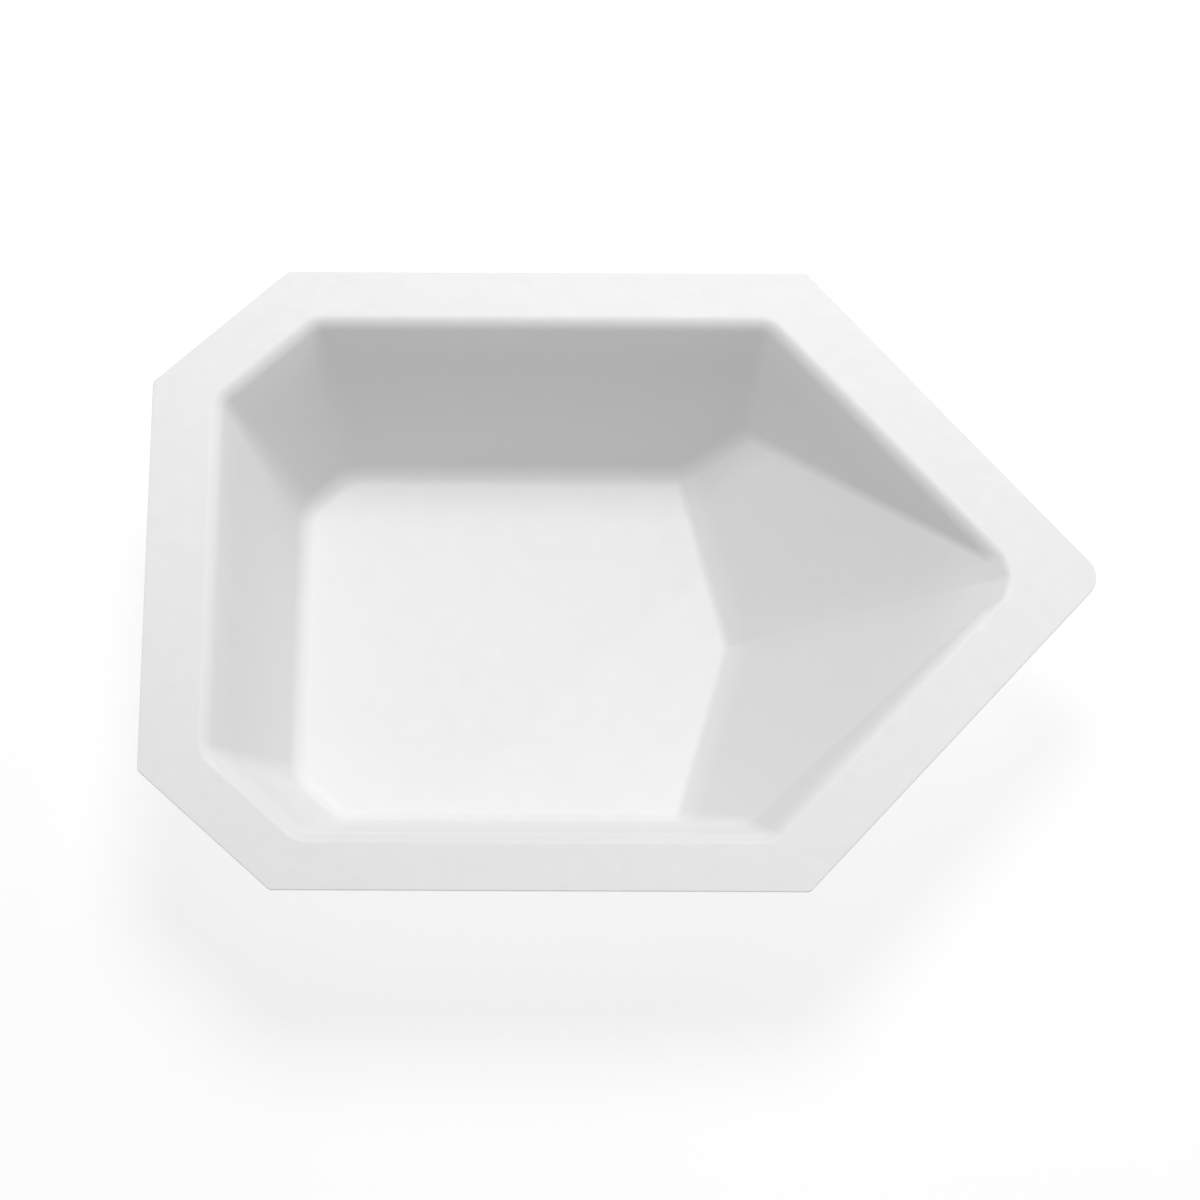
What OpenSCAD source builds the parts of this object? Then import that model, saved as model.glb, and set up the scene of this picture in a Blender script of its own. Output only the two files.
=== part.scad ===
// Pouring weighing boat: one thin sheet, thermoformed and die-cut.
// A flat flange runs round a tray whose blunt end has cut corners and whose
// other end is a pointed nose. All walls lean outwards. The flat floor ends in
// a shallow V, and from there a two-faced ramp rises to the nose, so that what
// was weighed slides out over the point.
//
// Frame: +X to the nose, +Z up, z = 0 on the underside of the floor,
// origin under the middle of the overall length.

/* [Outline] */
// Overall length, from the blunt end to the rounded nose
overall_len = 137; // [132:1:160]
// Overall width across the long sides
overall_w = 100; // [90:1:115]
// Angle between the two nose edges, in degrees
nose_angle = 99; // [90:1:110]
// Length of the cut corners at the blunt end, along X
chamfer_l = 19.3; // [14:0.1:23]
// Width of the cut corners at the blunt end, along Y
chamfer_w = 18.6; // [14:0.1:24]
// Radius of the die-cut nose
nose_r = 4; // [2:0.5:8]
// Radius of the other die-cut corners
corner_r = 1; // [0.5:0.1:3]

/* [Flange] */
// Flange width along the long sides, to the sharp line of the rim
flange_side = 8.6; // [7:0.1:12]
// Flange width along the blunt end
flange_end = 9.9; // [7:0.1:12]
// Flange width along the cut corners
flange_chamfer = 9; // [7:0.1:12]
// Flange width along the nose edges
flange_nose = 9.8; // [7:0.1:12]

/* [Tray] */
// Depth from the flange's upper face to the floor's upper face
depth = 23; // [19:0.5:28]
// How far the long side walls lean out over the depth
run_side = 13.1; // [8:0.1:16]
// How far the blunt end wall leans out
run_end = 11.5; // [8:0.1:14]
// How far the cut corner walls lean out
run_chamfer = 12.6; // [9:0.1:15]
// How far the nose walls lean out
run_nose = 11.6; // [8:0.1:14]

/* [Pouring ramp] */
// Length of the floor along its sides, where the ramp starts
floor_side_end = 76.8; // [73:0.1:81]
// Length of the floor on the centre line, at the point of its V
floor_apex = 84.1; // [82:0.1:90]
// How far short of the sharp tip of the opening the ramp reaches the flange
lip_back = 0.8; // [0.7:0.1:4]

/* [Sheet] */
// Thickness of the sheet
sheet_t = 0.35; // [0.25:0.05:0.8]
// Radius of the bend from the walls into the flange, on the upper face
rim_r = 2.5; // [1.5:0.1:3.2]
// Inside radius where the walls and the ramp meet the floor
floor_r = 3; // [1.5:0.1:4]
// Radius in plan of the floor's four corners at the blunt end
floor_corner_r = 7; // [5:0.5:9]
// Inside radius to which the blunt end's upright corners narrow above the rim
upright_r = 2; // [1:0.1:3]
// Inside radius of the two upright corners where the nose starts
shoulder_r = 3; // [1.5:0.1:4]
// Inside radius at the outer end of the pouring channel
channel_r = 2; // [0.6:0.1:3]

/* [Hidden] */

ball_fn = 32;          // facets of the balls that round the tray
arc_n = 6;             // steps in each plan corner and in the rim bend
eps = 0.03;            // how far the flared rim starts inside the tray
lean = 1.14;           // a leaning corner's radius in plan over its ball's radius
w2 = overall_w / 2;
half_nose = nose_angle / 2;
apex_x = overall_len + nose_r * (1 / sin(half_nose) - 1);
shoulder_x = apex_x - w2 / tan(half_nose);

// The sharp outline, anticlockwise from the blunt end
outline = [[0, -(w2 - chamfer_w)], [chamfer_l, -w2], [shoulder_x, -w2],
           [apex_x, 0], [shoulder_x, w2], [chamfer_l, w2], [0, w2 - chamfer_w]];
edges = len(outline);
flange = [flange_chamfer, flange_side, flange_nose, flange_nose,
          flange_side, flange_chamfer, flange_end];
run = [run_chamfer, run_side, run_nose, run_nose, run_side, run_chamfer, run_end];

// Outline edge i: outward normal in plan, and distance from the origin
function nrm(i) = let (d = outline[(i + 1) % edges] - outline[i]) [d.y, -d.x] / norm(d);
function ofs(i) = nrm(i) * outline[i];
// Plan point where two lines [normal, distance] meet
function crossing(l, m) = let (det = l[0].x * m[0].y - l[0].y * m[0].x)
    [l[1] * m[0].y - m[1] * l[0].y, l[0].x * m[1] - m[0].x * l[1]] / det;

// A loop of lines with corner j, where line j starts, rounded to rad[j]
function rounded(lines, rad) = [for (j = [0:len(lines) - 1])
    let (l = lines[(j + len(lines) - 1) % len(lines)], m = lines[j],
         c = crossing([l[0], l[1] - rad[j]], [m[0], m[1] - rad[j]]),
         a0 = atan2(l[0].y, l[0].x), turn = (atan2(m[0].y, m[0].x) - a0 + 720) % 360)
    for (s = [0:arc_n]) c + rad[j] * [cos(a0 + turn * s / arc_n), sin(a0 + turn * s / arc_n)]];

// Planes that bound the tray, as [inward unit normal, distance]
function wall(i) = let (n = nrm(i), k = run[i] / depth, q = sqrt(1 + k * k))
    [[-n.x, -n.y, k] / q, -(ofs(i) - flange[i] - run[i]) / q];
side_y = w2 - flange_side - run_side;
ramp_top_x = crossing([nrm(2), ofs(2) - flange_nose], [nrm(3), ofs(3) - flange_nose]).x - lip_back;
ramp_a = depth / (ramp_top_x - floor_apex);
ramp_b = ramp_a * (floor_apex - floor_side_end) / side_y;
function ramp(s) = [[-ramp_a, -s * ramp_b, 1], -ramp_a * floor_apex]
    / sqrt(1 + ramp_a * ramp_a + ramp_b * ramp_b);
base = [[0, 0, 1], 0];
lid = [[0, 0, -1], -(depth + 10)];

// Centre of a ball of radius r that touches three planes from inside
function seat(p, q, s, r) =
    let (a = p[1] + r, b = q[1] + r, c = s[1] + r)
    (a * cross(q[0], s[0]) + b * cross(s[0], p[0]) + c * cross(p[0], q[0]))
    / (p[0] * cross(q[0], s[0]));

// Balls along the arc that rounds the floor's corner j between walls i and j
function corner_line(i) = let (k = run[i] / depth)
    [nrm(i), ofs(i) - flange[i] - run[i] + floor_r * (k - sqrt(1 + k * k)) - sweep_r];
function corner_arc(j) = let (i = (j + edges - 1) % edges, c = crossing(corner_line(i), corner_line(j)),
                              a0 = atan2(nrm(i).y, nrm(i).x), turn = (atan2(nrm(j).y, nrm(j).x) - a0 + 720) % 360)
    [for (s = [0:arc_n - 2]) let (a = a0 + turn * s / (arc_n - 2))
        [[c.x + sweep_r * cos(a), c.y + sweep_r * sin(a), floor_r], floor_r]];
sweep_r = floor_corner_r - lean * floor_r;

// Every corner of the tray as [ball centre, ball radius]
seats = concat(
    [for (j = [0, 1, 5, 6]) each corner_arc(j)],
    [for (s = [-1, 1]) [seat(base, wall(s < 0 ? 1 : 4), ramp(s), floor_r), floor_r]],
    [[seat(base, ramp(-1), ramp(1), floor_r), floor_r]],
    [for (s = [-1, 1]) [seat(wall(s < 0 ? 1 : 4), wall(s < 0 ? 2 : 3), ramp(s), shoulder_r), shoulder_r]],
    [[seat(wall(2), wall(3), ramp(1), channel_r), channel_r]],
    [for (j = [0:edges - 1]) let (r = j == 3 ? channel_r : j == 2 || j == 4 ? shoulder_r : upright_r)
        [seat(lid, wall((j + 6) % 7), wall(j), r), r]]);

// The tray's skin as a solid: each corner rounded by its ball, grown by g.
// The balls are drawn so that their facets lie on the true planes.
module tray(g) {
    hull() for (b = seats)
        translate(b[0]) sphere(r = (b[1] + g) / cos(180 / ball_fn), $fn = ball_fn);
}

// What runs into the rim, anticlockwise: [normal in plan, sharp rim line's distance, run per height].
// The two faces of the ramp cut the tip of the nose off.
ramp_m = norm([ramp_a, ramp_b]);
rim_sides = [for (i = [0, 1, 2, -1, -2, 3, 4, 5, 6])
    i >= 0 ? [nrm(i), ofs(i) - flange[i], run[i] / depth]
           : [[ramp_a, (i == -1 ? -1 : 1) * ramp_b] / ramp_m,
              (depth + ramp_a * floor_apex) / ramp_m, 1 / ramp_m]];
sides = len(rim_sides);
function slope(i) = atan(1 / rim_sides[i][2]);
steepest = max([for (i = [0:sides - 1]) slope(i)]);
// Plan radius of each corner of the tray just under the rim bend
plan_r = [for (j = [0:sides - 1]) j == 4 ? 2 : j == 3 || j == 5 ? 1.2 : j == 2 || j == 6 ? shoulder_r * lean
          : upright_r * lean + (floor_corner_r - upright_r * lean) * 0.32];

// Distance outwards from the sharp rim line at height z: the straight face grown
// by g, then the rim bend of radius r about the bend's own centre
function flare(i, z, r, g) =
    let (k = rim_sides[i][2], d0 = rim_r * tan(slope(i) / 2),
         straight = (z - depth) * k + g * sqrt(1 + k * k),
         h = min(z - depth + rim_r, r), low = r * cos(slope(i)))
    h > low ? max(straight, d0 - sqrt(max(0, r * r - h * h))) : straight;

// One level of the flared rim
function level(z, r, g, inset) =
    let (d = [for (i = [0:sides - 1]) flare(i, z, r, g) - inset],
         e = [for (i = [0:sides - 1]) d[i] - (z - depth) * rim_sides[i][2]])
    [for (p = rounded([for (i = [0:sides - 1]) [rim_sides[i][0], rim_sides[i][1] + d[i]]],
                      [for (j = [0:sides - 1]) plan_r[j] + min(e[(j + sides - 1) % sides], e[j])]))
        [p.x, p.y, z]];

// The flared rim: levels that follow the bend, closed at the bottom and top
module rim(r, g, top) {
    levels = concat(
        [for (s = [0:arc_n]) let (a = steepest * (1 - s / arc_n))
            level(depth - rim_r + r * cos(a), r, g, s == 0 ? eps : 0)],
        [[for (p = level(depth - rim_r + r, r, g, 0)) [p.x, p.y, top]]]);
    m = len(levels[0]);
    n = len(levels);
    polyhedron(
        points = [for (l = levels) each l],
        faces = concat(
            [[for (i = [0:m - 1]) i]],
            [for (l = [0:n - 2], i = [0:m - 1])
                [l * m + i, (l + 1) * m + i, (l + 1) * m + (i + 1) % m, l * m + (i + 1) % m]],
            [[for (i = [m - 1:-1:0]) (n - 1) * m + i]]),
        convexity = 4);
}

// The sheet: flange, rim bend and tray, with the same shape one
// thickness further in taken away
module weighing_boat() {
    color([0.95, 0.95, 0.945])
    translate([-overall_len / 2, 0, sheet_t])
    difference() {
        union() {
            translate([0, 0, depth - sheet_t])
                linear_extrude(sheet_t)
                    polygon(rounded([for (i = [0:edges - 1]) [nrm(i), ofs(i)]],
                                    [for (j = [0:edges - 1]) j == 3 ? nose_r : corner_r]));
            intersection() {
                tray(sheet_t);
                translate([-10, -w2 - 10, -sheet_t - 1])
                    cube([overall_len + 20, overall_w + 20, depth + 1 + sheet_t / 2]);
            }
            rim(rim_r - sheet_t, sheet_t, depth - sheet_t / 2);
        }
        tray(0);
        rim(rim_r, 0, depth + 1);
    }
}

weighing_boat();
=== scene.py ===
"""Pouring weighing boat: the looks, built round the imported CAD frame.

The boat is one thermoformed sheet. Its upper face is laid out as flat faces, rolled
fillets, ball-rounded corners and a rim bend, every point with its true normal. The
lower face is the same surface one sheet thickness further out, and a die-cut edge
joins the two.
"""
import math

import bpy
import numpy as np
from mathutils import Matrix, Vector
from mathutils import geometry as geo


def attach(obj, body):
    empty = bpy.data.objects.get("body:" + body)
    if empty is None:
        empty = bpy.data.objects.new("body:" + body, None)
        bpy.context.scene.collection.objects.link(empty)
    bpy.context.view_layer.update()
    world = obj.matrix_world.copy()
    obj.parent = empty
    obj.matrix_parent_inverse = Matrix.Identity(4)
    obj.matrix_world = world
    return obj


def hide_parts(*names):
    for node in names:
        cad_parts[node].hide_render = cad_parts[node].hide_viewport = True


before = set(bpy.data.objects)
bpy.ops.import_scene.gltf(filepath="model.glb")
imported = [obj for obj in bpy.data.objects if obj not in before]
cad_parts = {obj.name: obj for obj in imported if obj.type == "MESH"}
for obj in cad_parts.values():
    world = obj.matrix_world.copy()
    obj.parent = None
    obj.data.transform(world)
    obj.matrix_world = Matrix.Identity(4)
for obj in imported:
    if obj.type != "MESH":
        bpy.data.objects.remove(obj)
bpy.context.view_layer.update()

# ---------------------------------------------------------------- dimensions, mm
OVERALL_LEN, OVERALL_W, NOSE_ANGLE = 137.0, 100.0, 99.0
CHAMFER_L, CHAMFER_W = 19.3, 18.6
NOSE_R, CORNER_R = 4.0, 1.0
FLANGE_SIDE, FLANGE_END, FLANGE_CHAMFER, FLANGE_NOSE = 8.6, 9.9, 9.0, 9.8
DEPTH = 23.0
RUN_SIDE, RUN_END, RUN_CHAMFER, RUN_NOSE = 13.1, 11.5, 12.6, 11.6
FLOOR_SIDE_END, FLOOR_APEX, LIP_BACK = 76.8, 84.1, 0.8
SHEET = 0.35
RIM_R, FLOOR_R, UPRIGHT_R, CHANNEL_R = 2.5, 3.0, 2.0, 2.0
FLOOR_CORNER_R, SHOULDER_R = 7.0, 3.0
EDGE_R = 0.07          # the blade's pull-down on the upper edge of the cut

ARC = 10               # steps across a fillet
BEND = 10              # steps across the rim bend
GRID = 2.2             # spacing of the points on flat faces
SOFT_FOLD = 4.0        # half-width of the soft fold down the middle of the ramp

# ---------------------------------------------------------------- planes and corners
w2 = OVERALL_W / 2
half = math.radians(NOSE_ANGLE / 2)
apex_x = OVERALL_LEN + NOSE_R * (1 / math.sin(half) - 1)
shoulder_x = apex_x - w2 / math.tan(half)
outline = np.array([[0, -(w2 - CHAMFER_W)], [CHAMFER_L, -w2], [shoulder_x, -w2],
                    [apex_x, 0], [shoulder_x, w2], [CHAMFER_L, w2], [0, w2 - CHAMFER_W]])
flange = [FLANGE_CHAMFER, FLANGE_SIDE, FLANGE_NOSE, FLANGE_NOSE, FLANGE_SIDE, FLANGE_CHAMFER, FLANGE_END]
run = [RUN_CHAMFER, RUN_SIDE, RUN_NOSE, RUN_NOSE, RUN_SIDE, RUN_CHAMFER, RUN_END]


def plan_normal(i):
    d = outline[(i + 1) % 7] - outline[i]
    return np.array([d[1], -d[0]]) / np.linalg.norm(d)


N2 = [plan_normal(i) for i in range(7)]
OFS = [float(N2[i] @ outline[i]) for i in range(7)]


def crossing(n, a, m, b):
    return np.linalg.solve(np.array([n, m]), np.array([a, b]))


# each plane is (upward unit normal, distance): the tray lies on its positive side
planes = {}
for i in range(7):
    k = run[i] / DEPTH
    q = math.sqrt(1 + k * k)
    planes["w%d" % i] = (np.array([-N2[i][0], -N2[i][1], k]) / q, -(OFS[i] - flange[i] - run[i]) / q)
side_y = w2 - FLANGE_SIDE - RUN_SIDE
ramp_top = crossing(N2[2], OFS[2] - FLANGE_NOSE, N2[3], OFS[3] - FLANGE_NOSE)[0] - LIP_BACK
ra = DEPTH / (ramp_top - FLOOR_APEX)
rb = ra * (FLOOR_APEX - FLOOR_SIDE_END) / side_y
rq = math.sqrt(1 + ra * ra + rb * rb)
planes["RL"] = (np.array([-ra, rb, 1]) / rq, -ra * FLOOR_APEX / rq)
planes["RU"] = (np.array([-ra, -rb, 1]) / rq, -ra * FLOOR_APEX / rq)
planes["F"] = (np.array([0, 0, 1.0]), 0.0)
planes["LID"] = (np.array([0, 0, -1.0]), -(DEPTH + 10))


def seat(names, r):
    A = np.array([planes[n][0] for n in names[:3]])
    b = np.array([planes[n][1] + r for n in names[:3]])
    return np.linalg.solve(A, b), r


seats = {
    "e": seat(("F", "w1", "RL"), FLOOR_R), "f": seat(("F", "RL", "RU"), FLOOR_R),
    "g": seat(("F", "RU", "w4"), FLOOR_R),
    "hl": seat(("w1", "w2", "RL"), SHOULDER_R), "hu": seat(("w3", "w4", "RU"), SHOULDER_R),
    "tip": seat(("w2", "w3", "RU"), CHANNEL_R),
    "C": seat(("LID", "w6", "w0"), UPRIGHT_R), "D": seat(("LID", "w0", "w1"), UPRIGHT_R),
    "E": seat(("LID", "w1", "w2"), SHOULDER_R), "G": seat(("LID", "w3", "w4"), SHOULDER_R),
    "A": seat(("LID", "w4", "w5"), UPRIGHT_R), "B": seat(("LID", "w5", "w6"), UPRIGHT_R),
}
# at the blunt end the floor's corners are wide arcs: the ball of the floor fillet runs
# along an arc of radius sweep, from wall p (seat "c0") to wall q (seat "c1")
sweep = FLOOR_CORNER_R - 1.14 * FLOOR_R
arcs = {}
for name, i, j in (("c", 6, 0), ("d", 0, 1), ("a", 4, 5), ("b", 5, 6)):
    reach = [OFS[m] - flange[m] - run[m] + FLOOR_R * (run[m] / DEPTH - math.hypot(1, run[m] / DEPTH)) - sweep
             for m in (i, j)]
    middle = crossing(N2[i], reach[0], N2[j], reach[1])
    arcs[name] = middle
    for k, m in ((0, i), (1, j)):
        seats["%s%d" % (name, k)] = (np.array([*(middle + sweep * N2[m]), FLOOR_R]), FLOOR_R)


def directions(p, q, s1, s2, n=ARC):
    """The outward directions, from plane p's to plane q's, in which one tangent plane
    touches the balls of both seats: an arc of a circle on the unit sphere."""
    u0, u1 = -planes[p][0], -planes[q][0]
    axis = seats[s2][0] - seats[s1][0]
    axis = axis / np.linalg.norm(axis)
    h = float(u0 @ axis)
    a, b = u0 - h * axis, u1 - h * axis
    r = np.linalg.norm(a)
    a, b = a / np.linalg.norm(a), b / np.linalg.norm(b)
    w = math.acos(max(-1.0, min(1.0, float(a @ b))))
    out = []
    for k in range(n + 1):
        t = k / n
        v = (math.sin((1 - t) * w) * a + math.sin(t * w) * b) / math.sin(w)
        u = h * axis + r * v
        out.append(u / np.linalg.norm(u))
    out[0], out[-1] = u0, u1
    return out


# ---------------------------------------------------------------- points, each with its normal
pts, nrm, index, lines = [], [], {}, set()


def put(p, n):
    key = (round(float(p[0]), 4), round(float(p[1]), 4))
    if key not in index:
        index[key] = len(pts)
        pts.append(np.array(p, float))
        nrm.append(np.array(n, float))
    return index[key]


def link(a, b):
    if a != b:
        lines.add((min(a, b), max(a, b)))


def touch(name, u):
    c, r = seats[name]
    return c + r * np.asarray(u)


z_cut = DEPTH - RIM_R * (1 - min(planes["w%d" % i][0][2] for i in range(7))) - 0.05


def strip(p, q, s1, s2, cut=False):
    """The rolled fillet between planes p and q, from seat s1 to seat s2 or up to the level z_cut."""
    us = directions(p, q, s1, s2)
    ends, previous = [], None
    length = np.linalg.norm(seats[s2][0] - seats[s1][0])
    n = max(2, int(round(length / (GRID * 1.3))))
    for u in us:
        a, b = touch(s1, u), touch(s2, u)
        if cut:
            b = a + (b - a) * (z_cut - a[2]) / (b[2] - a[2])
        row = [put(a + (b - a) * t / n, -u) for t in range(n + 1)]
        for i, j in zip(row, row[1:]):
            link(i, j)
        if previous:
            for t in range(n + 1):
                link(previous[t], row[t])
        previous = row
        ends.append((b, -u))
    return ends


def slerp(a, b, t):
    w = math.acos(max(-1.0, min(1.0, float(np.dot(a, b)))))
    if w < 1e-9:
        return a
    return (math.sin((1 - t) * w) * a + math.sin(t * w) * b) / math.sin(w)


def ball(name, sides):
    """The ball-rounded corner at a seat. sides are three direction arcs, end to end."""
    c, r = seats[name]
    s0, s1, s2 = sides
    n = ARC
    # a triangle with rows parallel to s0: from s0 (bottom) to the shared end of s1 and s2
    rows = []
    for k in range(n + 1):
        a, b = s2[n - k], s1[k]             # left and right ends of this row
        m = n - k
        row = []
        for j in range(m + 1):
            t = j / m if m else 0.0
            if k == 0:
                u = s0[j]
            elif j == 0:
                u = a
            elif j == m:
                u = b
            else:
                u = slerp(a, b, t)
            row.append(put(c + r * u, -u))
        rows.append(row)
    for k in range(n + 1):
        for i, j in zip(rows[k], rows[k][1:]):
            link(i, j)
        if k:
            for j in range(len(rows[k])):
                link(rows[k][j], rows[k - 1][j])
                link(rows[k][j], rows[k - 1][j + 1])


def round_corner(name, i, j, up):
    """The blunt end's corner between walls i and j: the floor fillet swept round its arc,
    then a cone up to the seat at the rim."""
    p2, r2 = seats[up]
    a0, a1 = math.atan2(N2[i][1], N2[i][0]), math.atan2(N2[j][1], N2[j][0])
    turn = (a1 - a0) % (2 * math.pi)
    ends, previous, foot = [], None, []
    for k in range(ARC + 1):
        e = np.array([math.cos(a0 + turn * k / ARC), math.sin(a0 + turn * k / ARC), 0.0])
        c1 = np.array([*arcs[name], FLOOR_R]) + sweep * e
        # the plane that touches both balls, its outward normal turned down by tilt
        d = p2 - c1
        h = math.hypot(d @ e, d[2])
        tilt = math.atan2(-d[2], d @ e) + math.acos((FLOOR_R - r2) / h)
        row, n = [], max(2, int(round((z_cut - 1.5) / (GRID * 1.3))))
        for t in range(ARC + 1):
            v = math.pi / 2 + (tilt - math.pi / 2) * t / ARC
            u = e * math.cos(v) - np.array([0, 0, math.sin(v)])
            row.append(put(c1 + FLOOR_R * u, -u))
        foot.append(c1[:2].copy())
        low, high = c1 + FLOOR_R * u, p2 + r2 * u
        high = low + (high - low) * (z_cut - low[2]) / (high[2] - low[2])
        row += [put(low + (high - low) * t / n, -u) for t in range(1, n + 1)]
        for a, b in zip(row, row[1:]):
            link(a, b)
        if previous:
            for a, b in zip(previous, row):
                link(a, b)
        previous = row
        ends.append((high, -u))
    return ends, foot


# fillets round the floor
FLOOR_LOOP = [("w0", "c1", "d0"), ("w1", "d1", "e"), ("RL", "e", "f"), ("RU", "f", "g"),
              ("w4", "g", "a0"), ("w5", "a1", "b0"), ("w6", "b1", "c0")]
for w, s, t in FLOOR_LOOP:
    strip("F", w, s, t)
# fillets beside and along the ramp, below the rim
strip("w1", "RL", "e", "hl")
strip("w4", "RU", "g", "hu")
top, feet = {}, {}
top["w2-RL"] = strip("w2", "RL", "hl", "tip", True)
top["RL-RU"] = strip("RL", "RU", "f", "tip", True)
top["RU-w3"] = strip("RU", "w3", "hu", "tip", True)
# upright corners
top["w1-w2"] = strip("w1", "w2", "hl", "E", True)
top["w3-w4"] = strip("w3", "w4", "hu", "G", True)
for name, corner, i, j, up in (("w6-w0", "c", 6, 0, "C"), ("w0-w1", "d", 0, 1, "D"),
                               ("w4-w5", "a", 4, 5, "A"), ("w5-w6", "b", 5, 6, "B")):
    top[name], feet[corner] = round_corner(corner, i, j, up)


def three(name, p, q, s, others):
    """The ball at a seat where planes p, q and s meet; others gives the far seat of each pair."""
    ball(name, [directions(p, q, name, others[0]), directions(q, s, name, others[1]),
                directions(s, p, name, others[2])])


three("e", "F", "w1", "RL", ("d1", "hl", "f"))
three("f", "F", "RL", "RU", ("e", "tip", "g"))
three("g", "F", "RU", "w4", ("f", "hu", "a0"))
three("hl", "w1", "w2", "RL", ("E", "tip", "e"))
three("hu", "w3", "w4", "RU", ("G", "g", "tip"))

# the loop where the tray reaches z_cut, anticlockwise, as (point, normal), with the outer
# edge's corner or side that each point faces
OUT_RADIUS = [CORNER_R, CORNER_R, CORNER_R, NOSE_R, CORNER_R, CORNER_R, CORNER_R]


def outer_corner(j, count):
    i = (j + 6) % 7
    r = OUT_RADIUS[j]
    c = crossing(N2[i], OFS[i] - r, N2[j], OFS[j] - r)
    a0, a1 = math.atan2(N2[i][1], N2[i][0]), math.atan2(N2[j][1], N2[j][0])
    turn = (a1 - a0) % (2 * math.pi)
    out = []
    for k in range(count):
        a = a0 + turn * k / (count - 1)
        m = np.array([math.cos(a), math.sin(a)])
        out.append((c + r * m, m))
    return out


def between(a, b, count):
    """Points strictly between two (point, vector) pairs that share their vector."""
    return [(a[0] + (b[0] - a[0]) * k / count, a[1]) for k in range(1, count)]


loop, rim = [], []       # loop: (point, normal) at z_cut; rim: (plan point, outward direction) on the cut edge
ORDER = [("w6-w0", 0), ("w0-w1", 1), ("w1-w2", 2), ("nose", 3), ("w3-w4", 4), ("w4-w5", 5), ("w5-w6", 6)]
nose = list(top["w2-RL"])
a, b = top["w2-RL"][-1], top["RL-RU"][0]
nose += between(a, b, max(1, int(round(np.linalg.norm(b[0] - a[0]) / 0.8)))) + list(top["RL-RU"])
a, b = top["RL-RU"][-1], top["RU-w3"][0]
nose += between(a, b, max(1, int(round(np.linalg.norm(b[0] - a[0]) / 0.8)))) + list(top["RU-w3"])
top["nose"] = nose
for k, (name, j) in enumerate(ORDER):
    corner = top[name]
    loop += corner
    rim += outer_corner(j, len(corner))
    nxt_name, nj = ORDER[(k + 1) % 7]
    a, b = corner[-1], top[nxt_name][0]
    n = max(2, int(round(np.linalg.norm(b[0] - a[0]) / GRID)))
    loop += between(a, b, n)
    oa, ob = rim[-1], outer_corner(nj, len(top[nxt_name]))[0]
    rim += between(oa, (ob[0], oa[1]), n)
assert len(loop) == len(rim)

# the rim bend: each point runs on up its own slope, then round the bend into the flange
inner, ring = [], []
for p, n in loop:
    horizontal = math.hypot(n[0], n[1])
    theta = math.atan2(horizontal, n[2])
    m = -np.array(n[:2]) / horizontal
    z_start = DEPTH - RIM_R * (1 - math.cos(theta))
    reach = (z_start - z_cut) / math.tan(theta)
    row = [put(p, n)]
    steps = 1 if reach < 0.4 else 3
    for s in range(1, 4):                  # same count everywhere, so the rings link up
        f = s / 3
        row.append(put(np.array([p[0] + m[0] * reach * f, p[1] + m[1] * reach * f, z_cut + (z_start - z_cut) * f]), n)
                   if reach > 0.4 or s == 3 else None)
    q = np.array([p[0], p[1]]) + m * reach
    for s in range(1, BEND + 1):
        phi = theta * (1 - s / BEND)
        out = RIM_R * (math.sin(theta) - math.sin(phi))
        row.append(put(np.array([q[0] + m[0] * out, q[1] + m[1] * out, DEPTH - RIM_R * (1 - math.cos(phi))]),
                       np.array([-m[0] * math.sin(phi), -m[1] * math.sin(phi), math.cos(phi)])))
    ring.append(row)
    inner.append(pts[row[-1]][:2].copy())
for i in range(len(ring)):
    a, b = ring[i], ring[(i + 1) % len(ring)]
    chain = [v for v in a if v is not None]
    for u, v in zip(chain, chain[1:]):
        link(u, v)
    for u, v in zip(a, b):
        if u is not None and v is not None:
            link(u, v)

# the flange, from the end of the bend to the cut edge
FLANGE_ROWS = 5
edge = []
last = [r[-1] for r in ring]
for s in range(1, FLANGE_ROWS + 1):
    row = []
    for i, (o, m) in enumerate(rim):
        end = o - m * EDGE_R
        p = inner[i] + (end - inner[i]) * s / FLANGE_ROWS
        row.append(put(np.array([p[0], p[1], DEPTH]), np.array([0, 0, 1.0])))
    for i in range(len(row)):
        link(row[i], row[(i + 1) % len(row)])
    last = row
edge = last

# points on the flat faces
def inside(poly, p, margin):
    for i in range(len(poly)):
        a, b = poly[i], poly[(i + 1) % len(poly)]
        d = b - a
        L = math.hypot(*d)
        if L < 1e-9:
            continue
        if (d[0] * (p[1] - a[1]) - d[1] * (p[0] - a[0])) / L < margin:
            return False
    return True


def flat(plane, corners, step=GRID):
    """A grid of points inside the flat face whose corners are given as plan points, anticlockwise."""
    n, d = planes[plane]
    poly = [np.array(c[:2], float) for c in corners]
    lo, hi = np.min(poly, axis=0), np.max(poly, axis=0)
    row, y = 0, lo[1]
    while y < hi[1]:
        x = lo[0] + (step / 2 if row % 2 else 0)
        while x < hi[0]:
            if inside(poly, (x, y), step * 0.35):
                put(np.array([x, y, (d - n[0] * x - n[1] * y) / n[2]]), n)
            x += step
        y += step * 0.866
        row += 1


def tangent(plane, name):
    return touch(name, -planes[plane][0])


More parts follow.
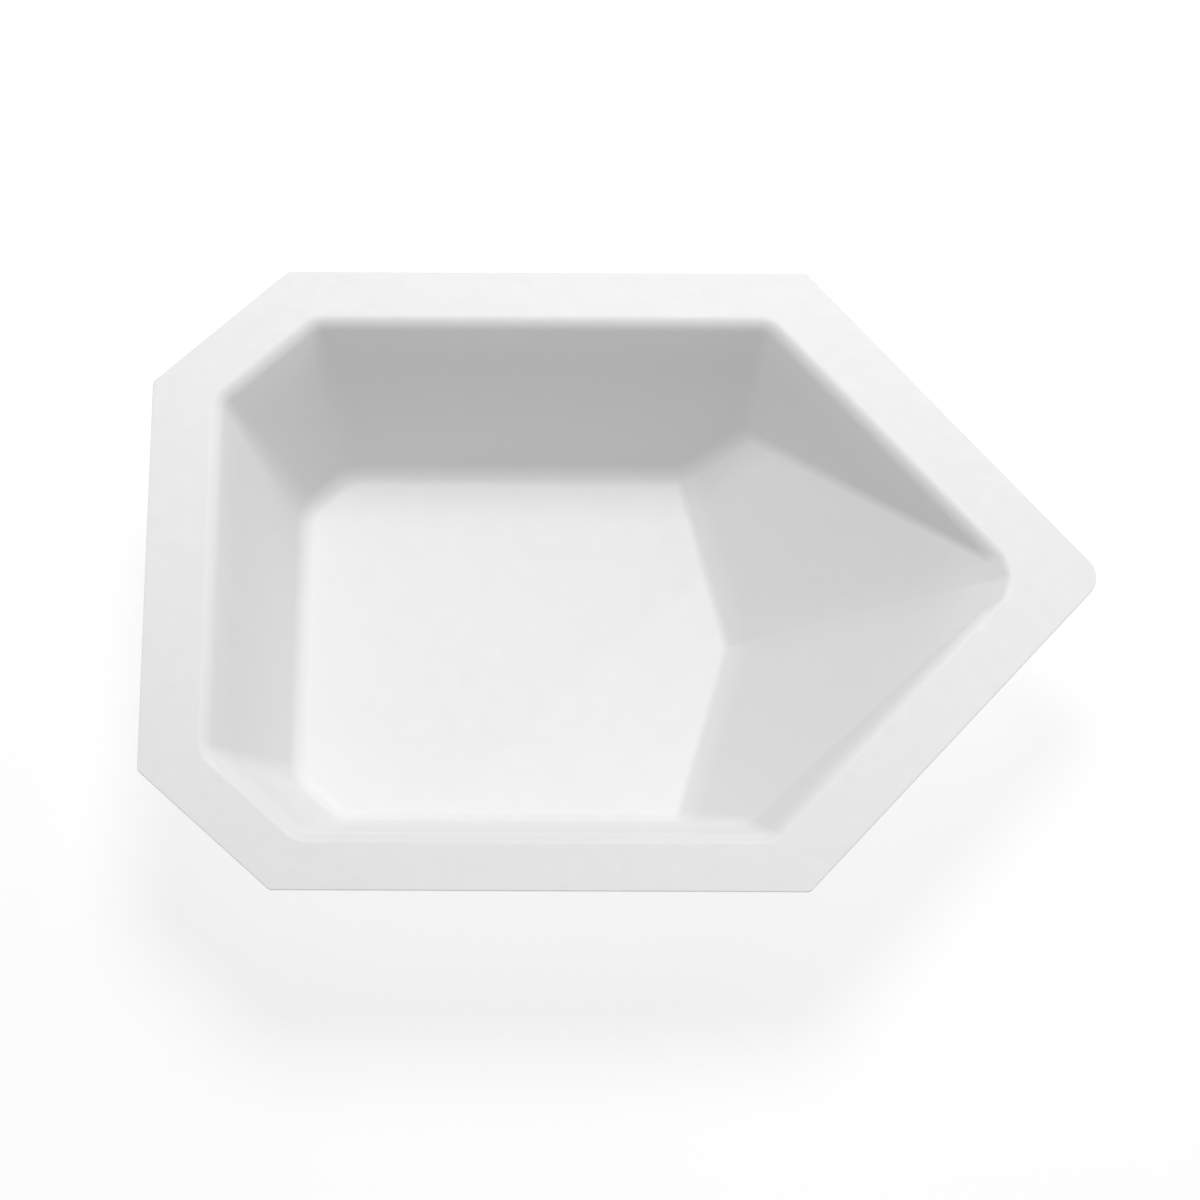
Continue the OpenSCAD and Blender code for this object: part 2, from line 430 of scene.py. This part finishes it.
flat("F", feet["c"] + feet["d"] + [tangent("F", s) for s in "efg"] + feet["a"] + feet["b"])
for w, s1, s2, up1, up2 in (("w0", "c1", "d0", "w6-w0", "w0-w1"), ("w5", "a1", "b0", "w4-w5", "w5-w6"),
                            ("w6", "b1", "c0", "w5-w6", "w6-w0")):
    flat(w, [tangent(w, s2), tangent(w, s1), top[up1][-1][0], top[up2][0][0]])
flat("w1", [tangent("w1", "hl"), tangent("w1", "e"), tangent("w1", "d1"), top["w0-w1"][-1][0], top["w1-w2"][0][0]])
flat("w4", [tangent("w4", "a0"), tangent("w4", "g"), tangent("w4", "hu"), top["w3-w4"][-1][0], top["w4-w5"][0][0]])
flat("w2", [tangent("w2", "hl"), top["w1-w2"][-1][0], top["w2-RL"][0][0]])
flat("w3", [tangent("w3", "hu"), top["RU-w3"][-1][0], top["w3-w4"][0][0]])
flat("RL", [tangent("RL", "f"), tangent("RL", "e"), tangent("RL", "hl"), top["w2-RL"][-1][0], top["RL-RU"][0][0]], 1.2)
flat("RU", [tangent("RU", "hu"), tangent("RU", "g"), tangent("RU", "f"), top["RL-RU"][-1][0], top["RU-w3"][0][0]], 1.2)

# ---------------------------------------------------------------- triangulate in plan
res = geo.delaunay_2d_cdt([Vector((p[0], p[1])) for p in pts], [list(e) for e in lines], [], 0, 1e-6, True)
out_xy, out_faces, orig = res[0], res[2], res[3]
P, Nn, extra = [], [], 0
remap = {}
for i, src in enumerate(orig):
    if src:
        P.append(pts[src[0]])
        Nn.append(nrm[src[0]])
        for s in src:
            remap[s] = i
    else:
        extra += 1
        near = min(range(len(pts)), key=lambda k: (pts[k][0] - out_xy[i][0]) ** 2 + (pts[k][1] - out_xy[i][1]) ** 2)
        P.append(np.array([out_xy[i][0], out_xy[i][1], pts[near][2]]))
        Nn.append(nrm[near])
P, Nn = np.array(P), np.array(Nn)
Nn /= np.linalg.norm(Nn, axis=1)[:, None]


# the fold between the ramp's two faces is drawn softly: a shallow valley that narrows with the
# channel and fades out towards the floor and the rim
def smooth(t):
    t = np.clip(t, 0, 1)
    return t * t * (3 - 2 * t)


def soft_fold(x, y):
    """Height that the soft fold adds, in mm."""
    y = np.abs(y)
    a, b = tangent("RU", "hu"), tangent("RU", "tip")
    channel = np.clip(b[1] + (b[0] - x) * (a[1] - b[1]) / (b[0] - a[0]), 0.01, None)
    w = np.maximum(np.minimum(SOFT_FOLD, 0.85 * channel), 0.6)
    w0 = 0.45
    past = x - (FLOOR_APEX - (FLOOR_APEX - FLOOR_SIDE_END) * y / side_y)
    z = ra * (x - FLOOR_APEX) + rb * y
    fade = smooth((past - 0.9) / 4.0) * smooth((z_cut - 0.1 - z) / 2.5)
    return fade * rb * (np.clip(w - y, 0, None) ** 2 / (2 * w) - np.clip(w0 - y, 0, None) ** 2 / (2 * w0))


px, py = P[:, 0], P[:, 1]
rise = soft_fold(px, py)
gx = (soft_fold(px + 0.02, py) - soft_fold(px - 0.02, py)) / 0.04
gy = (soft_fold(px, py + 0.02) - soft_fold(px, py - 0.02)) / 0.04
gy[np.abs(py) < 0.02] = 0
P[:, 2] += rise
Nn = np.stack([Nn[:, 0] - gx * Nn[:, 2], Nn[:, 1] - gy * Nn[:, 2], Nn[:, 2]], 1)
Nn /= np.linalg.norm(Nn, axis=1)[:, None]
print("boat: the soft fold adds at most %.2f mm" % rise.max())
tris = np.array([f for f in out_faces if len(f) == 3])
area = ((P[tris[:, 1], 0] - P[tris[:, 0], 0]) * (P[tris[:, 2], 1] - P[tris[:, 0], 1])
        - (P[tris[:, 1], 1] - P[tris[:, 0], 1]) * (P[tris[:, 2], 0] - P[tris[:, 0], 0]))
tris[area < 0] = tris[area < 0][:, ::-1]
edge = [remap[i] for i in edge]
# no slivers between points that lie in a row along the outline
area = ((P[tris[:, 1], 0] - P[tris[:, 0], 0]) * (P[tris[:, 2], 1] - P[tris[:, 0], 1])
        - (P[tris[:, 1], 1] - P[tris[:, 0], 1]) * (P[tris[:, 2], 0] - P[tris[:, 0], 0]))
tris = tris[~(np.isin(tris, edge).all(axis=1) & (area < 1e-5))]
print("boat: %d points, %d triangles in plan, %d made by crossings" % (len(P), len(tris), extra))


# ---------------------------------------------------------------- the sheet's own unevenness
def warp(x, y):
    """Height change in mm, and its slope: the slow wander of a thin formed sheet."""
    w = [(0.055, 0.043, 0.021, 0.4), (0.045, -0.031, 0.052, 1.9), (0.030, 0.071, -0.064, 4.1), (0.018, 0.118, 0.097, 2.6)]
    f = fx = fy = 0.0
    # strongest at the free edge, nothing on the floor it stands on
    d = np.max([N2[i][0] * x + N2[i][1] * y - (OFS[i] - flange[i] - run[i]) for i in range(7)], axis=0)
    s = np.clip(d / 20.0, 0, 1)
    g = s * s * (3 - 2 * s)
    for a, kx, ky, ph in w:
        t = kx * x + ky * y + ph
        f = f + a * np.sin(t)
        fx = fx + a * kx * np.cos(t)
        fy = fy + a * ky * np.cos(t)
    return f * g, fx * g, fy * g


def finish_points(P, N):
    f, fx, fy = warp(P[:, 0], P[:, 1])
    Q = P.copy()
    Q[:, 2] += f
    M = np.stack([N[:, 0] - fx * N[:, 2], N[:, 1] - fy * N[:, 2], N[:, 2]], 1)
    return Q, M / np.linalg.norm(M, axis=1)[:, None]


upper, upper_n = P, Nn
lower, lower_n = P - SHEET * Nn, -Nn

# the cut edge: a small pull-down on the upper side, then straight down to the lower face
E = len(edge)
cut_p, cut_n = [], []
dirs = np.array([m for _, m in rim])
base = np.array([o for o, _ in rim])
for phi in (30, 60, 90):
    s, c = math.sin(math.radians(phi)), math.cos(math.radians(phi))
    cut_p.append(np.c_[base - dirs * EDGE_R * (1 - s), np.full(E, DEPTH - EDGE_R * (1 - c))])
    cut_n.append(np.c_[dirs * s, np.full(E, c)])
cut_p.append(np.c_[base - dirs * 0.015, np.full(E, DEPTH - SHEET + 0.02)])
cut_n.append(np.c_[dirs, np.full(E, -0.15)])
# the lower face stops EDGE_R short of the edge too, so one more ring closes it
cut_p.append(np.c_[base - dirs * 0.03, np.full(E, DEPTH - SHEET)])
cut_n.append(np.c_[dirs * 0.1, np.full(E, -1.0)])
cut_p = [np.array(c) for c in cut_p]

V = [upper, lower] + cut_p
VN = [upper_n, lower_n] + [c / np.linalg.norm(c, axis=1)[:, None] for c in cut_n]
start = np.cumsum([0] + [len(v) for v in V])
V, VN = np.vstack(V), np.vstack(VN)
V, VN = finish_points(V, VN)
n_up = len(upper)
faces = [tuple(int(v) for v in t) for t in tris] + [tuple(int(v) + n_up for v in t[::-1]) for t in tris]
rings = [list(edge)] + [list(range(start[2 + k], start[3 + k])) for k in range(5)] + [[i + n_up for i in edge]]
for a, b in zip(rings, rings[1:]):
    for i in range(E):
        j = (i + 1) % E
        faces.append((a[i], b[i], b[j], a[j]))

V[:, 0] -= OVERALL_LEN / 2
V[:, 2] += SHEET
V *= 0.001

mesh = bpy.data.meshes.new("boat_sheet")
mesh.from_pydata(V.tolist(), [], faces)
mesh.validate(clean_customdata=False)
mesh.shade_smooth()
mesh.normals_split_custom_set_from_vertices([Vector(n) for n in VN])
mesh.update()
boat = bpy.data.objects.new("boat_sheet", mesh)
bpy.context.collection.objects.link(boat)

# ---------------------------------------------------------------- material: satin white polystyrene sheet
mat = bpy.data.materials.new("white_polystyrene")
mat.use_nodes = True
nt = mat.node_tree
bsdf = nt.nodes["Principled BSDF"]
out = nt.nodes["Material Output"]
bsdf.inputs["IOR"].default_value = 1.55
bsdf.inputs["Subsurface Weight"].default_value = 0.25
bsdf.inputs["Subsurface Radius"].default_value = (1.0, 1.0, 1.0)
bsdf.inputs["Subsurface Scale"].default_value = 0.0012


def node(kind, x, y, **inputs):
    n = nt.nodes.new(kind)
    n.location = (x, y)
    for key, value in inputs.items():
        n.inputs[key.replace("_", " ")].default_value = value
    return n


coord = node("ShaderNodeTexCoord", -1400, 0)
# painted light and shade, by height: the base colour is lightest on the floor, where it stands in for light coming
# back up through the sheet from the pale floor it lies on; it is darker up the walls and lighter again on the flange
height = nt.nodes.new("ShaderNodeSeparateXYZ")
height.location = (-1150, 560)
nt.links.new(coord.outputs["Object"], height.inputs["Vector"])
level = nt.nodes.new("ShaderNodeMapRange")
level.location = (-950, 560)
level.inputs["From Min"].default_value, level.inputs["From Max"].default_value = 0.0, 0.0234
nt.links.new(height.outputs["Z"], level.inputs["Value"])
painted_shade_ramp = nt.nodes.new("ShaderNodeValToRGB")
painted_shade_ramp.location = (-750, 600)
painted_shade_ramp.color_ramp.interpolation = "EASE"
# grey stops of the painted light and shade: floor, foot of the walls, upper walls, flange
painted_shade_stops = ((0.03, 0.850), (0.12, 0.792), (0.70, 0.780), (0.97, 0.826))
while len(painted_shade_ramp.color_ramp.elements) < len(painted_shade_stops):
    painted_shade_ramp.color_ramp.elements.new(0.5)
for element, (place, grey) in zip(painted_shade_ramp.color_ramp.elements, painted_shade_stops):
    element.position = place
    element.color = (grey, grey, grey, 1)
nt.links.new(level.outputs["Result"], painted_shade_ramp.inputs["Fac"])
# and a slow unevenness from the forming
slow = node("ShaderNodeTexNoise", -1150, 300, Scale=26.0, Detail=3.0, Roughness=0.55)
nt.links.new(coord.outputs["Object"], slow.inputs["Vector"])
fine = node("ShaderNodeTexNoise", -1150, 60, Scale=420.0, Detail=2.0, Roughness=0.6)
nt.links.new(coord.outputs["Object"], fine.inputs["Vector"])
tone = nt.nodes.new("ShaderNodeMapRange")
tone.location = (-850, 300)
tone.inputs["From Min"].default_value, tone.inputs["From Max"].default_value = 0.3, 0.7
tone.inputs["To Min"].default_value, tone.inputs["To Max"].default_value = 0.997, 1.003
nt.links.new(slow.outputs["Fac"], tone.inputs["Value"])
# the base colour is the painted light and shade by height, times the slow unevenness from the forming
white = nt.nodes.new("ShaderNodeVectorMath")
white.operation = "SCALE"
white.location = (-450, 400)
nt.links.new(painted_shade_ramp.outputs["Color"], white.inputs[0])
nt.links.new(tone.outputs["Result"], white.inputs["Scale"])
nt.links.new(white.outputs["Vector"], bsdf.inputs["Base Color"])
# satin finish, a little uneven
gloss = nt.nodes.new("ShaderNodeMapRange")
gloss.location = (-600, 0)
gloss.inputs["From Min"].default_value, gloss.inputs["From Max"].default_value = 0.3, 0.7
gloss.inputs["To Min"].default_value, gloss.inputs["To Max"].default_value = 0.44, 0.50
nt.links.new(fine.outputs["Fac"], gloss.inputs["Value"])
nt.links.new(gloss.outputs["Result"], bsdf.inputs["Roughness"])
# the faint orange peel of a formed sheet
peel = node("ShaderNodeTexNoise", -1100, -300, Scale=900.0, Detail=2.0, Roughness=0.5)
nt.links.new(coord.outputs["Object"], peel.inputs["Vector"])
bump = node("ShaderNodeBump", -600, -300, Strength=0.12, Distance=0.00004)
nt.links.new(peel.outputs["Fac"], bump.inputs["Height"])
nt.links.new(bump.outputs["Normal"], bsdf.inputs["Normal"])
mesh.materials.append(mat)

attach(boat, "root")
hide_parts("weighing_boat")

# ---------------------------------------------------------------- floor, light, camera
floor_mesh = bpy.data.meshes.new("floor")
floor_mesh.from_pydata([(-3, -3, 0), (3, -3, 0), (3, 3, 0), (-3, 3, 0)], [], [(0, 1, 2, 3)])
floor = bpy.data.objects.new("floor", floor_mesh)
floor.location.z = -0.00002
bpy.context.collection.objects.link(floor)
fmat = bpy.data.materials.new("pale_floor")
fmat.use_nodes = True
fb = fmat.node_tree.nodes["Principled BSDF"]
fb.inputs["Base Color"].default_value = (0.35, 0.35, 0.35, 1)
fb.inputs["Emission Color"].default_value = (1, 1, 1, 1)
fb.inputs["Emission Strength"].default_value = 0.72
fb.inputs["Roughness"].default_value = 0.9
fb.inputs["Specular IOR Level"].default_value = 0.0
floor_mesh.materials.append(fmat)

scene = bpy.context.scene
scene.view_settings.view_transform = "Standard"
world = bpy.data.worlds.new("studio")
scene.world = world
world.use_nodes = True
world.node_tree.nodes["Background"].inputs["Color"].default_value = (1, 1, 1, 1)
world.node_tree.nodes["Background"].inputs["Strength"].default_value = 0.33

# two round softboxes, the key high behind and a low one behind on the right
for name, azimuth, elevation, watts in (("key_softbox", 0, 60, 1.88), ("side_softbox", 45, 32, 0.76)):
    lamp = bpy.data.lights.new(name, "AREA")
    lamp.shape = "DISK"
    lamp.size = 0.34
    lamp.energy = watts
    light = bpy.data.objects.new(name, lamp)
    az, el = math.radians(azimuth), math.radians(elevation)
    light.location = 0.6 * Vector((math.cos(el) * math.sin(az), math.cos(el) * math.cos(az), math.sin(el)))
    light.rotation_euler = (-light.location).to_track_quat("-Z", "Y").to_euler()
    bpy.context.collection.objects.link(light)

cam = bpy.data.cameras.new("camera")
camera = bpy.data.objects.new("camera", cam)
bpy.context.collection.objects.link(camera)
scene.camera = camera
ELEV, YAW, ROLL = math.radians(63.05), math.radians(-1.14), math.radians(0.79)
F_PX, DIST, U0, V0 = 7022.0, 1.0319, 0.00308, -0.00681
Mel = Matrix(((1, 0, 0), (0, math.sin(ELEV), math.cos(ELEV)), (0, -math.cos(ELEV), math.sin(ELEV))))
R = Matrix.Rotation(ROLL, 3, "Z") @ Mel @ Matrix.Rotation(YAW, 3, "Z")
aim = Vector((0, 0, SHEET * 0.001))
camera.matrix_world = Matrix.Translation(aim + R.transposed() @ Vector((-U0, -V0, DIST))) @ R.transposed().to_4x4()
cam.sensor_width = 36.0
cam.lens = F_PX / 1200 * 36.0
cam.clip_end = 20
